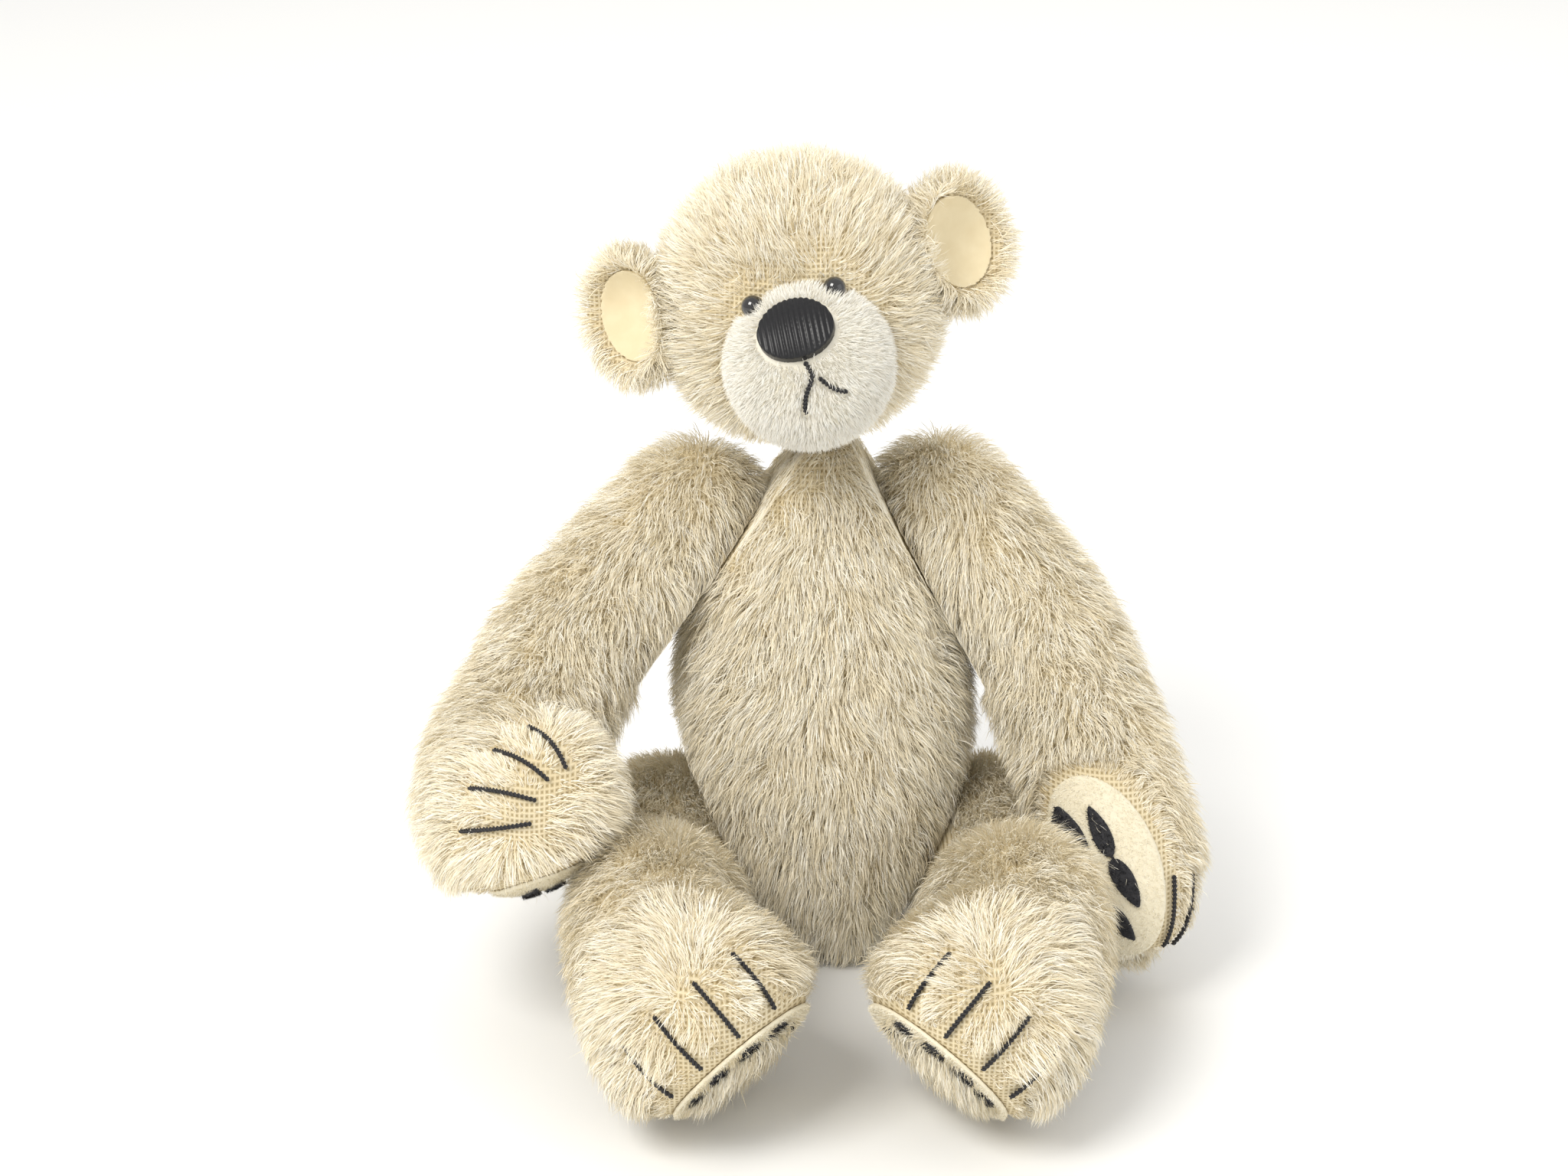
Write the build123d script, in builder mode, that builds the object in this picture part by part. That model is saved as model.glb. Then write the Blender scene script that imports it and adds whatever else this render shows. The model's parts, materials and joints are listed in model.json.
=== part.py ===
"""Jointed mohair teddy bear, seated, in millimetres.

The bear faces -Y, its own left side is +X, and +Z is up. The origin is the centre of the flat
seat on which the body rests. Neck, shoulders and hips are disc joints: a hardboard disc on each
side of two layers of mohair, drawn together by a cotter pin that the limb turns about.
"""
import os
from math import cos, radians, sin

from build123d import *

os.makedirs("parts", exist_ok=True)

# ---- driving dimensions -------------------------------------------------------------------
cloth = 0.8                 # mohair backing with its seam allowance
filling_gap = 0.05          # between the backing and the filling
joint_gap = 0.5             # between two skins that turn on each other
pad_cloth = 0.5             # ultrasuede of palms, soles and pads
thread = 0.7                # embroidery thread
claw_rise = 1.15            # from a paw's skin to the middle of a claw thread

lean_side = 2.5             # the body leans to the bear's right
lean_back = 5.0
head_roll = 10.5            # the head is tipped to the bear's right
head_shift = 2.4            # and sits a little to the left of its disc

disc_thickness = 1.2
disc_radius = 4.0
washer_thickness = 0.4
washer_radius = 2.6
pin_radius = 0.55
pin_play = 0.08             # radial play of a limb on its pin

torso_height = 71.0
shoulder_offset = (13.0, 0.5, 55.3)
shoulder_tilt = {"left": 26.0, "right": 38.0}
arm_swing = {"left": 0.0, "right": 11.0}
hip_offset = (14.2, -3.0, 16.5)
hip_tilt = 28.0
head_centre = 18.6          # height of the head's middle above the neck
head_half_width = 17.4
head_half_depth = 16.2
head_half_height = 17.6
muzzle_radius = 10.4
eye_radius = 1.5
ear_radius = 7.6
neck_disc_radius = 4.0
neck_disc_start = 6.8       # from the neck's pivot to a disc's nearer face
neck_eye_radius = 2.0
neck_wire_radius = 0.5
neck_link_offset = 0.65     # from the pivot to the wire that the other eye hangs on
neck_hole_radius = 2.8
curl_length = 3.6
muzzle_centre = (head_shift, -16.4, 12.6)
nose_azimuth = -3.0
nose_elevation = 38.0
nose_half_width = 5.0
nose_half_height = 4.2
nose_thickness = 1.3
eye_place = (5.4, -17.9, 21.8)
ear_place = (19.2, 1.6, 20.6)
ear_turn = 46.0             # from straight ahead towards the side
ear_cup_radius = 10.0
ear_cloth = 1.5
palm_reach = 14.0

# Body: height above the seat, half width, half depth, shift towards the back.
torso_sections = [
    (-1.0, 8.0, 12.0, 0.0),
    (3.0, 11.0, 14.6, 0.0),
    (9.0, 13.9, 16.6, -0.3),
    (17.0, 16.6, 18.0, -0.8),
    (27.0, 18.4, 18.6, -1.2),
    (37.0, 18.4, 18.0, -1.0),
    (47.0, 16.9, 16.0, -0.4),
    (56.0, 15.4, 13.8, 0.2),
    (63.5, 12.6, 11.2, 0.3),
    (68.5, 8.6, 7.8, 0.2),
    (torso_height, 3.6, 3.4, 0.0),
]
# Head: height above its middle as a share of the half height, and the girth there as a share.
head_sections = [(-1.0, 0.2), (-0.9, 0.47), (-0.7, 0.74), (-0.35, 0.95), (0.0, 1.0),
                 (0.35, 0.94), (0.68, 0.74), (0.88, 0.49), (1.0, 0.18)]
# Arm in the shoulder's plane: down the arm, forward, out of the plane, half width, half depth.
shoulder_sections = [
    (-10.4, -2.2, 5.8, 3.0, 3.0),
    (-7.6, -1.6, 6.0, 6.8, 6.4),
    (-1.6, -0.5, 6.3, 9.0, 8.6),
    (8.0, 1.5, 7.6, 9.5, 9.2),
    (18.0, 4.0, 9.8, 9.3, 9.3),
]
arm_sections = {
    "left": shoulder_sections + [
        (27.0, 8.0, 9.6, 9.2, 9.3),
        (35.0, 13.2, 8.9, 9.2, 9.4),
        (43.0, 18.6, 7.4, 9.2, 9.4),
        (50.5, 22.4, 5.4, 8.8, 9.2),
        (56.0, 24.8, 3.3, 6.8, 7.4),
        (58.4, 25.8, 2.5, 3.4, 3.8),
    ],
    "right": shoulder_sections + [
        (30.0, 8.0, 9.8, 9.3, 9.6),
        (38.6, 14.0, 9.6, 9.2, 10.6),
        (42.0, 22.4, 8.0, 9.2, 11.6),
        (40.0, 31.0, 5.4, 9.0, 11.4),
        (37.6, 36.8, 3.2, 7.0, 8.8),
        (36.6, 39.4, 2.3, 3.4, 4.6),
    ],
}
# Thigh and shin of the bear's left leg: centre, half width, half depth. The foot follows.
thigh_sections = [
    ((22.4, 9.6, 12.2), 4.0, 4.0),
    ((22.6, 7.4, 12.1), 8.2, 7.8),
    ((22.9, 1.0, 12.0), 11.6, 10.8),
    ((22.4, -9.0, 11.2), 10.2, 10.2),
    ((20.8, -20.5, 11.8), 8.4, 9.6),
    ((21.6, -31.5, 16.2), 8.4, 9.8),
    ((24.0, -40.5, 21.0), 9.2, 10.2),
]
foot_centre = (17.4, -55.0, 15.8)
sole_normal = (-0.64, -0.46, -0.615)
toe_direction = (0.128, -0.854, 0.505)
# Foot: distance along the sole's normal, half width, half length, shift towards the toes.
foot_sections = [(-7.0, 10.8, 12.2, 0.6), (-1.0, 12.4, 14.4, 1.6), (4.5, 12.4, 14.4, 1.6),
                 (8.2, 10.8, 12.4, 1.2)]

# Mouth: rows of (azimuth, elevation) on the muzzle's dome.
mouth_rows = [
    [(-2.0, 13.5), (2.0, 5.0), (-3.0, -6.0), (-7.0, -24.0)],
    [(5.6, 1.0), (12.0, -6.0), (20.0, -13.0), (24.0, -14.0)],
]
# Palm and pads on the paw: along the paw, across it, half sizes and turn in degrees.
palm_oval = (0.0, 0.0, 12.6, 7.6, 0.0)
paw_pads = [(-3.4, -3.0, 5.6, 2.9, 0.0), (-4.4, 2.2, 3.3, 1.3, 8.0), (2.4, 3.2, 3.3, 1.4, 10.0),
            (7.0, 0.4, 3.2, 1.2, 14.0), (7.6, -2.8, 2.8, 1.0, 16.0)]
foot_pads = [(-1.4, 0.0, 4.2, 7.8, 0.0), (7.2, -6.3, 2.0, 1.5, 0.0), (9.6, -2.3, 2.3, 1.7, 0.0),
             (9.6, 2.3, 2.3, 1.7, 0.0), (7.2, 6.3, 2.0, 1.5, 0.0)]
# How far each palm faces inward, down the arm and forward.
palm_facing = {"left": (0.31, -0.31, 0.9), "right": (0.78, 0.6, -0.1)}
claw_angles = (-42.0, -14.0, 14.0, 42.0)

sides = {"left": 1, "right": -1}

# ---- frames -------------------------------------------------------------------------------
torso_frame = Plane.XY.rotated((-lean_back, -lean_side, 0))
neck_frame = torso_frame.offset(torso_height + joint_gap)
head_frame = Plane(neck_frame.location * Location((0, 0, 0), (0, -head_roll, 0)))


def in_torso(point):
    """Turn a point given in the leaning body's frame into the bear's frame."""
    return torso_frame.from_local_coords(Vector(*point))


def mirrored(point, side):
    """Give a point of the bear's left side on the side asked for."""
    return Vector(sides[side] * point[0], point[1], point[2])


def shoulder_directions(side):
    """The shoulder's outward, down-the-arm and forward directions in the bear's frame."""
    tilt = radians(shoulder_tilt[side])
    outward = in_torso((sides[side] * cos(tilt), 0, sin(tilt)))
    down = in_torso((sides[side] * sin(tilt), 0, -cos(tilt)))
    forward = in_torso((0, -1, 0))
    return outward, down, forward


def shoulder_plane(side):
    """Plane between body and arm; its normal is the axis that the arm turns about."""
    outward, down, forward = shoulder_directions(side)
    origin = in_torso(mirrored(shoulder_offset, side))
    return Plane(origin=origin, x_dir=down, z_dir=outward)


def hip_plane(side):
    """Plane between body and leg; its normal is the axis that the leg turns about."""
    tilt = radians(hip_tilt)
    outward = Vector(sides[side] * cos(tilt), 0, -sin(tilt))
    return Plane(origin=mirrored(hip_offset, side), x_dir=(0, -1, 0), z_dir=outward)


# ---- shapes shared by several pieces ---------------------------------------------------------
def loft_through(sections, inset):
    """Closed solid through elliptical sections (centre, normal, x direction, half sizes)."""
    last = len(sections) - 1
    with BuildPart() as solid:
        for index, (centre, normal, x_direction, half_x, half_y) in enumerate(sections):
            ends = {0: inset, last: -inset}
            origin = centre + normal.normalized() * ends.get(index, 0)
            with BuildSketch(Plane(origin=origin, x_dir=x_direction, z_dir=normal)):
                Ellipse(max(half_x - inset, 0.6), max(half_y - inset, 0.6))
        loft()
    return solid.part


def torso_solid(inset):
    """The body's egg shape, drawn in by inset."""
    sections = []
    for height, half_width, half_depth, shift in torso_sections:
        centre = in_torso((0, shift, height))
        sections.append((centre, torso_frame.z_dir, torso_frame.x_dir, half_width, half_depth))
    return loft_through(sections, inset)


def head_solid(inset):
    """The skull's round shape, without the muzzle, drawn in by inset."""
    sections = []
    for rise, girth in head_sections:
        centre = head_frame.from_local_coords((head_shift, -1.5, head_centre + rise * head_half_height))
        half_width = girth * head_half_width
        half_depth = girth * head_half_depth
        sections.append((centre, head_frame.z_dir, head_frame.x_dir, half_width, half_depth))
    return loft_through(sections, inset)


def along(centres, index):
    """Direction of a row of centres at one of them."""
    before = centres[max(index - 1, 0)]
    after = centres[min(index + 1, len(centres) - 1)]
    return after - before


# The arm lies in a frame of its own: X down the arm, -Y forward, Z out of the joint's plane.
arm_frame = Plane.XY
arm_centres = {}
for side, rows in arm_sections.items():
    arm_centres[side] = [Vector(reach, -ahead, out) for reach, ahead, out, half_width, half_depth in rows]


def arm_solid(side, inset):
    """The whole arm, bent at the elbow, before its shoulder is pressed flat."""
    centres = arm_centres[side]
    sections = []
    for index, (reach, ahead, out, half_width, half_depth) in enumerate(arm_sections[side]):
        normal = along(centres, index)
        sections.append((centres[index], normal, arm_frame.z_dir, half_width, half_depth))
    return loft_through(sections, inset)


def arm_place(side):
    """Where the arm's own frame lies on the bear, swung to its rest position."""
    turn = Location((0, 0, 0), (0, 0, -sides[side] * arm_swing[side]))
    return Plane(shoulder_plane(side).location * turn)


def arm_palm_plane(side):
    """Plane in the paw's middle that faces the palm's side, with X towards the claws."""
    inward, downward, onward = palm_facing[side]
    centres = arm_centres[side]
    paw = centres[-4] * 0.45 + centres[-3] * 0.55
    return Plane(origin=paw, x_dir=centres[-3] - centres[-5], z_dir=(downward, -onward, -inward))


def arm_claw_rows(side):
    """Threads of the front claws, laid from the back of the paw over its tip."""
    rows = []
    centres = arm_centres[side]
    last = len(centres)
    for angle in claw_angles:
        row = []
        for index in range(last - 3, last):
            reach, ahead, out, half_width, half_depth = arm_sections[side][index]
            plane = Plane(origin=centres[index], x_dir=arm_frame.z_dir, z_dir=along(centres, index))
            reach_out = (half_width + claw_rise) * cos(radians(angle))
            reach_across = (half_depth + claw_rise) * sin(radians(angle))
            row.append(plane.from_local_coords((reach_out, reach_across, 0)))
        rows.append(row)
    return rows


def foot_claw_rows(side):
    """Threads of the hind claws, laid over the toes down to the sole."""
    frame = foot_frame(side)
    rows = []
    for angle in claw_angles:
        row = []
        for distance, half_width, half_length, shift in foot_sections[1:]:
            toes = shift + (half_length + claw_rise) * cos(radians(angle))
            across = (half_width + claw_rise) * sin(radians(angle))
            row.append(frame.from_local_coords((toes, across, distance - 0.5)))
        rows.append(row)
    return rows


def foot_frame(side):
    """Plane through the foot's middle, parallel to the sole, with X towards the toes."""
    origin = mirrored(foot_centre, side)
    return Plane(origin=origin, x_dir=mirrored(toe_direction, side), z_dir=mirrored(sole_normal, side))


def leg_solid(side, inset):
    """Thigh, shin and foot in one, before the hip is pressed flat."""
    centres = [mirrored(centre, side) for centre, half_width, half_depth in thigh_sections]
    frame = foot_frame(side)
    centres.append(frame.origin)
    sections = []
    for index, (centre, half_width, half_depth) in enumerate(thigh_sections):
        sections.append((centres[index], along(centres, index), Vector(0, 0, 1), half_depth, half_width))
    for distance, half_width, half_length, shift in foot_sections:
        centre = frame.from_local_coords((shift, 0, distance))
        sections.append((centre, frame.z_dir, frame.x_dir, half_length, half_width))
    return loft_through(sections, inset)


def half_space(plane, size=90):
    """Large block on the far side of a plane's origin, opposite to its normal."""
    return plane.offset(-size / 2).location * Box(size, size, size, mode=Mode.PRIVATE)


def cylinder_on(plane, radius, start, length):
    """Cylinder about a plane's normal, from a start distance outward."""
    return plane.offset(start + length / 2).location * Cylinder(radius, length, mode=Mode.PRIVATE)


def save(piece, name):
    """Label a finished piece and write it."""
    piece.part.label = name
    export_step(piece.part, f"parts/{name}.step")


# ---- joint hardware ---------------------------------------------------------------------------
def disc_stack(plane, direction, skin_side):
    """Start distances of disc and washer beyond the skin; direction is +1 outward, -1 inward."""
    disc_start = direction * (skin_side + cloth + filling_gap)
    washer_start = disc_start + direction * disc_thickness
    return disc_start, washer_start


def ring_on(plane, radius, start, length, direction, hole):
    """Flat ring that lies beyond a start distance, on the side given by direction."""
    base = start if direction > 0 else start - length
    with BuildPart() as ring:
        with BuildSketch(plane.offset(base)):
            Circle(radius)
            Circle(hole, mode=Mode.SUBTRACT)
        extrude(amount=length)
    return ring.part


def pocket(plane, direction, skin_side):
    """Room that the filling leaves for disc, washer and pin end."""
    start, washer_start = disc_stack(plane, direction, skin_side)
    depth = disc_thickness + 0.2
    base = start - direction * pocket_margin
    low = min(base, start + direction * depth)
    wide = cylinder_on(plane, disc_radius + pocket_play, low, depth + pocket_margin)
    tip_low = min(washer_start, washer_start + direction * pin_room)
    narrow = cylinder_on(plane, washer_radius + pocket_play, tip_low, pin_room)
    return wide + narrow


def neck_room(plane, direction):
    """Room in a filling for the neck's eyes, disc, washer and pin end."""
    depth = neck_disc_start + disc_thickness + 0.2
    start = min(-direction * pocket_margin, direction * depth)
    wide = cylinder_on(plane, neck_disc_radius + pocket_play, start, depth + pocket_margin)
    tip = min(direction * neck_disc_start, direction * (neck_disc_start + pin_room))
    return wide + cylinder_on(plane, washer_radius + pocket_play, tip, pin_room)


pocket_margin = 1.6         # how far a pocket reaches back past the filling's own face
pocket_play = 0.3           # room around a disc or washer
pin_room = 4.2              # depth left for washer and curled ends
hole_radius = pin_radius + pin_play
arm_skin_side = joint_gap / 2
pin_bend = 1.0


def cotter_pin(plane):
    """Cotter pin along a joint's axis: an eye inside the body and two curled ends in the limb."""
    low = disc_stack(plane, -1, arm_skin_side)[1] - washer_thickness
    high = disc_stack(plane, 1, arm_skin_side)[1] + washer_thickness
    profile = Plane(origin=plane.origin, x_dir=plane.z_dir, z_dir=plane.x_dir)
    eye_centre = low - pin_bend - pin_radius
    curl_start = high + pin_radius + 0.05
    with BuildPart() as pin:
        with BuildSketch(plane.offset(low - pin_radius)):
            Circle(pin_radius)
        extrude(amount=curl_start - low + pin_radius)
        with Locations(profile.location * Location((eye_centre, 0, 0))):
            Torus(pin_bend, pin_radius * 0.7)
        with Locations(plane.offset(curl_start).location * Location((0, 0, 0), (90, 0, 0))):
            Cylinder(pin_radius * 0.9, curl_length)
    return pin.part


# ---- body -----------------------------------------------------------------------------------
torso_outer = torso_solid(0)
torso_inner = torso_solid(cloth)
torso_core = torso_solid(cloth + filling_gap)
ground = half_space(Plane.XY)
seat_cloth = half_space(Plane.XY.offset(cloth))
seat_core = half_space(Plane.XY.offset(cloth + filling_gap))
limb_planes = {}
for side in sides:
    limb_planes["shoulder", side] = shoulder_plane(side)
    limb_planes["hip", side] = hip_plane(side)
body_side_planes = {key: plane.offset(-joint_gap / 2) for key, plane in limb_planes.items()}


def outside(plane, size=60):
    """Large block on the side that a plane's normal points to."""
    return plane.offset(size / 2).location * Box(size, size, size, mode=Mode.PRIVATE)


def pressed_flat(solid, depth):
    """Body solid pressed flat where each limb's disc lies, depth under its skin."""
    for plane in body_side_planes.values():
        solid = solid - outside(plane.offset(-depth))
    return solid


torso_outer = pressed_flat(torso_outer - ground, 0)
torso_inner = pressed_flat(torso_inner - seat_cloth, cloth)
torso_core = pressed_flat(torso_core - seat_core, cloth + filling_gap)

pin_holes = [cylinder_on(plane, hole_radius, -6, 12) for plane in limb_planes.values()]
neck_hole = cylinder_on(neck_frame, neck_hole_radius, -9, 12)

for side, sign in sides.items():
    half = torso_frame.location * Location((sign * 45, 0, 35)) * Box(90, 120, 140, mode=Mode.PRIVATE)
    with BuildPart() as torso_side:
        add(torso_outer)
        add(torso_inner, mode=Mode.SUBTRACT)
        add(half, mode=Mode.INTERSECT)
        add(pin_holes, mode=Mode.SUBTRACT)
        add(neck_hole, mode=Mode.SUBTRACT)
    save(torso_side, f"torso_side_{side}")


def neck_pin(plane, direction, ring_x):
    """Cotter pin of the neck: a closed eye at the neck and a shank that ends in a curl."""
    eye_height = direction * (neck_eye_radius - neck_link_offset)
    shank_start = eye_height + direction * neck_eye_radius
    shank_end = direction * (neck_disc_start + disc_thickness + washer_thickness + pin_radius)
    low = min(shank_start, shank_end)
    eye_plane = Plane(origin=plane.origin, x_dir=plane.z_dir, z_dir=ring_x)
    with BuildPart() as pin:
        with Locations(eye_plane.location * Location((eye_height, 0, 0))):
            Torus(neck_eye_radius, neck_wire_radius)
        add(cylinder_on(plane, neck_wire_radius, low, abs(shank_end - shank_start)))
        with Locations(plane.offset(shank_end).location * Location((0, 0, 0), (90, 0, 0))):
            Cylinder(neck_wire_radius * 0.9, curl_length)
    return pin.part


with BuildPart() as torso_stuffing:
    add(torso_core)
    for plane in limb_planes.values():
        add(pocket(plane, -1, arm_skin_side), mode=Mode.SUBTRACT)
    add(neck_room(neck_frame, -1), mode=Mode.SUBTRACT)
save(torso_stuffing, "torso_stuffing")

washers = []
for joint in ("shoulder", "hip"):
    for side in sides:
        plane = limb_planes[joint, side]
        disc_start, washer_start = disc_stack(plane, -1, arm_skin_side)
        hardboard = ring_on(plane, disc_radius, disc_start, disc_thickness, -1, pin_radius)
        with BuildPart() as disc:
            add(hardboard)
            add(torso_core, mode=Mode.INTERSECT)
        save(disc, f"{joint}_disc_torso_{side}")
        washers.append(ring_on(plane, washer_radius, washer_start, washer_thickness, -1, pin_radius))

hardboard = ring_on(neck_frame, neck_disc_radius, -neck_disc_start, disc_thickness, -1, hole_radius)
with BuildPart() as neck_disc_torso:
    add(hardboard)
save(neck_disc_torso, "neck_disc_torso")
neck_washer_start = neck_disc_start + disc_thickness
washers.append(ring_on(neck_frame, washer_radius, -neck_washer_start, washer_thickness, -1, hole_radius))
with BuildPart() as torso_washers:
    add(washers)
save(torso_washers, "torso_washers")

for joint in ("shoulder", "hip"):
    pair = [cotter_pin(limb_planes[joint, side]) for side in sides]
    with BuildPart() as pins:
        add(pair)
    save(pins, f"{joint}_pins")

# ---- neck -------------------------------------------------------------------------------------
lower_pin = neck_pin(neck_frame, -1, neck_frame.x_dir)
with BuildPart() as neck_pin_lower:
    add(lower_pin)
save(neck_pin_lower, "neck_pin_lower")

upper_pin = neck_pin(head_frame, 1, head_frame.y_dir)
with BuildPart() as neck_pin_upper:
    add(upper_pin)
save(neck_pin_upper, "neck_pin_upper")

hardboard = ring_on(head_frame, neck_disc_radius, neck_disc_start, disc_thickness, 1, neck_wire_radius)
with BuildPart() as neck_disc_head:
    add(hardboard)
save(neck_disc_head, "neck_disc_head")

steel = ring_on(head_frame, washer_radius, neck_washer_start, washer_thickness, 1, neck_wire_radius)
with BuildPart() as neck_washer_head:
    add(steel)
save(neck_washer_head, "neck_washer_head")

# ---- head ---------------------------------------------------------------------------------------
head_outer = head_solid(0)
head_inner = head_solid(cloth)
neck_opening = cylinder_on(head_frame, neck_hole_radius, -2, 6)


def ball(plane, radius):
    """Sphere at a plane's origin."""
    return plane.location * Sphere(radius, mode=Mode.PRIVATE)


eye_planes = {}
for side, sign in sides.items():
    eye_origin = head_frame.from_local_coords((head_shift + sign * eye_place[0], *eye_place[1:]))
    eye_planes[side] = Plane(origin=eye_origin)
sockets = [ball(plane, eye_radius + filling_gap) for plane in eye_planes.values()]

for side, sign in sides.items():
    middle = Location((head_shift + sign * 45, 0, 20))
    half = head_frame.location * middle * Box(90, 120, 90, mode=Mode.PRIVATE)
    with BuildPart() as head_side:
        add(head_outer)
        add(head_inner, mode=Mode.SUBTRACT)
        add(half, mode=Mode.INTERSECT)
        add(neck_opening, mode=Mode.SUBTRACT)
        add(sockets, mode=Mode.SUBTRACT)
    save(head_side, f"head_side_{side}")

head_core = head_solid(cloth + filling_gap)
with BuildPart() as head_stuffing:
    add(head_core)
    add(neck_room(head_frame, 1), mode=Mode.SUBTRACT)
    add(sockets, mode=Mode.SUBTRACT)
save(head_stuffing, "head_stuffing")

muzzle_frame = Plane(
    origin=head_frame.from_local_coords(muzzle_centre),
    x_dir=head_frame.x_dir,
    z_dir=head_frame.z_dir,
)


def on_muzzle(azimuth, elevation, radius):
    """Point on the muzzle's dome; azimuth to the bear's left, elevation above straight ahead."""
    level = radius * cos(radians(elevation))
    ahead = Vector(level * sin(radians(azimuth)), -level * cos(radians(azimuth)),
                   radius * sin(radians(elevation)))
    return muzzle_frame.from_local_coords(ahead)


with BuildPart() as muzzle:
    add(ball(muzzle_frame, muzzle_radius))
    add(head_outer, mode=Mode.SUBTRACT)
    add(sockets, mode=Mode.SUBTRACT)
save(muzzle, "muzzle")

nose_normal = on_muzzle(nose_azimuth, nose_elevation, 1) - muzzle_frame.origin
nose_plane = Plane(origin=muzzle_frame.origin, x_dir=head_frame.x_dir, z_dir=nose_normal)
with BuildPart() as nose:
    with BuildSketch(nose_plane):
        Ellipse(nose_half_width, nose_half_height)
    extrude(amount=muzzle_radius + 2 * nose_thickness)
    add(ball(muzzle_frame, muzzle_radius + nose_thickness), mode=Mode.INTERSECT)
    add(ball(muzzle_frame, muzzle_radius), mode=Mode.SUBTRACT)
save(nose, "nose")


def stitch(points, radius):
    """Round thread laid through points."""
    with BuildPart() as laid:
        with BuildLine() as run:
            Spline(*points)
        with BuildSketch(Plane(origin=run.line @ 0, z_dir=run.line % 0)):
            Circle(radius)
        sweep()
    return laid.part


mouth_height = muzzle_radius + thread / 2 + 0.05
mouth_threads = []
for row in mouth_rows:
    points = [on_muzzle(azimuth, elevation, mouth_height) for azimuth, elevation in row]
    mouth_threads.append(stitch(points, thread / 2))
with BuildPart() as mouth_stitches:
    add(mouth_threads)
save(mouth_stitches, "mouth_stitches")

for side, sign in sides.items():
    bead = ball(eye_planes[side], eye_radius)
    with BuildPart() as eye:
        add(bead)
    save(eye, f"eye_{side}")

    turned = radians(ear_turn)
    ear_normal = Vector(sign * sin(turned), -cos(turned), 0.12)
    ear_origin = head_frame.from_local_coords((head_shift + sign * ear_place[0], *ear_place[1:]))
    ear_axis = head_frame.from_local_coords(ear_normal) - head_frame.origin
    ear_plane = Plane(origin=ear_origin, x_dir=head_frame.z_dir, z_dir=ear_axis)
    cup_centre = ear_plane.offset(ear_cup_radius)
    with BuildPart() as ear_back:
        add(ball(cup_centre, ear_cup_radius))
        add(ball(cup_centre, ear_cup_radius - ear_cloth), mode=Mode.SUBTRACT)
        add(cylinder_on(ear_plane, ear_radius, -1, 7), mode=Mode.INTERSECT)
        add(head_outer, mode=Mode.SUBTRACT)
    save(ear_back, f"ear_back_{side}")
    with BuildPart() as ear_lining:
        add(ball(cup_centre, ear_cup_radius - ear_cloth))
        add(ball(cup_centre, ear_cup_radius - ear_cloth - pad_cloth), mode=Mode.SUBTRACT)
        add(cylinder_on(ear_plane, ear_radius - 1.4, -1, 7), mode=Mode.INTERSECT)
        add(head_outer, mode=Mode.SUBTRACT)
    save(ear_lining, f"ear_lining_{side}")

# ---- limbs --------------------------------------------------------------------------------------


def limb_skin(plane, outer, inner):
    """Mohair skin of a limb, pressed flat against the body around its joint."""
    hollow = inner - flat_block(plane, arm_skin_side + cloth)
    with BuildPart() as skin:
        add(outer)
        add(flat_block(plane, arm_skin_side), mode=Mode.SUBTRACT)
        add(hollow, mode=Mode.SUBTRACT)
        add(cylinder_on(plane, hole_radius, -4, 8), mode=Mode.SUBTRACT)
    return skin


def limb_stuffing(plane, core):
    """Filling of a limb, with room for disc, washer and pin end."""
    with BuildPart() as filling:
        add(core)
        add(flat_block(plane, arm_skin_side + cloth + filling_gap), mode=Mode.SUBTRACT)
        add(pocket(plane, 1, arm_skin_side), mode=Mode.SUBTRACT)
    return filling


def save_hardware(limb, side, plane):
    """Write the disc and washer on a limb's side of its joint."""
    disc_start, washer_start = disc_stack(plane, 1, arm_skin_side)
    hardboard = ring_on(plane, disc_radius, disc_start, disc_thickness, 1, hole_radius)
    with BuildPart() as disc:
        add(hardboard)
    save(disc, f"{limb}_{side}_disc")
    steel = ring_on(plane, washer_radius, washer_start, washer_thickness, 1, hole_radius)
    with BuildPart() as washer:
        add(steel)
    save(washer, f"{limb}_{side}_washer")


def flat_block(plane, depth, reach=42, size=42):
    """Block that presses a limb flat around its joint, up to a depth outside the joint's plane."""
    return plane.offset(depth - size / 2).location * Box(reach, reach, size, mode=Mode.PRIVATE)


def oval_prism(plane, places, depth):
    """Ovals (x, y, half x, half y, turn) on a plane, as one group of prisms."""
    with BuildPart() as prisms:
        with BuildSketch(plane):
            for x, y, half_x, half_y, turn in places:
                with Locations(Location((x, y, 0), (0, 0, turn))):
                    Ellipse(half_x, half_y)
        extrude(amount=depth)
    return prisms.part


inset = cloth + filling_gap


def on_arm(piece, side):
    """Place a piece made in the arm's own frame; the right arm is a mirror image."""
    if side == "right":
        piece = piece.mirror(Plane.XZ)
    return arm_place(side).location * piece


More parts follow.
